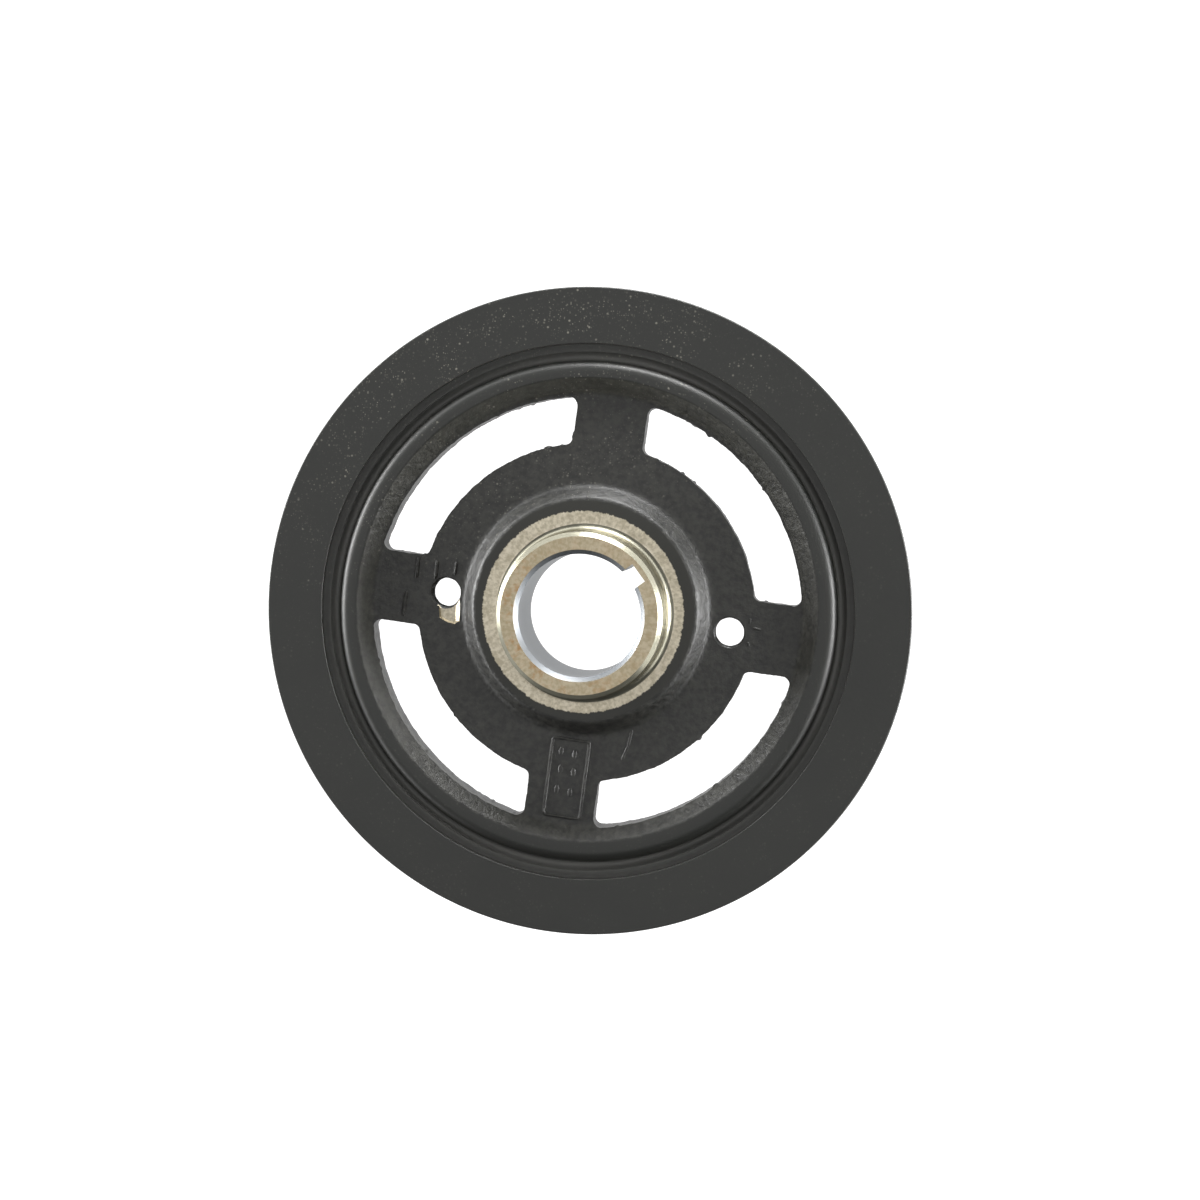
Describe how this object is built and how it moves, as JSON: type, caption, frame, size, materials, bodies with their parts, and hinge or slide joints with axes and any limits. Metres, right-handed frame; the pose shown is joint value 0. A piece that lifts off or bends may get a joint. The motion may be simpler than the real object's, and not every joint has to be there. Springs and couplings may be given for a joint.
{
  "type": "harmonic balancer",
  "caption": "Crankshaft damper pulley: spoked iron hub with keyed bore and seal nose, a rubber ring and a poly-V grooved inertia ring.",
  "frame": {"origin": "centre of the bore at the inertia ring's front face, which is the resting face", "axes": "+Z along the bore towards the seal nose, +X through one puller hole and its spoke"},
  "size_m": [0.15, 0.15, 0.037],
  "materials": {
    "hub": "black dip paint over cast iron, machined faces bare",
    "damper_rubber": "matt black moulded rubber",
    "inertia_ring": "semi-matt black dip paint over turned cast iron"
  },
  "bodies": {
    "root": {"hub": "hub", "damper_rubber": "damper_rubber", "inertia_ring": "inertia_ring"}
  },
  "joints": []
}
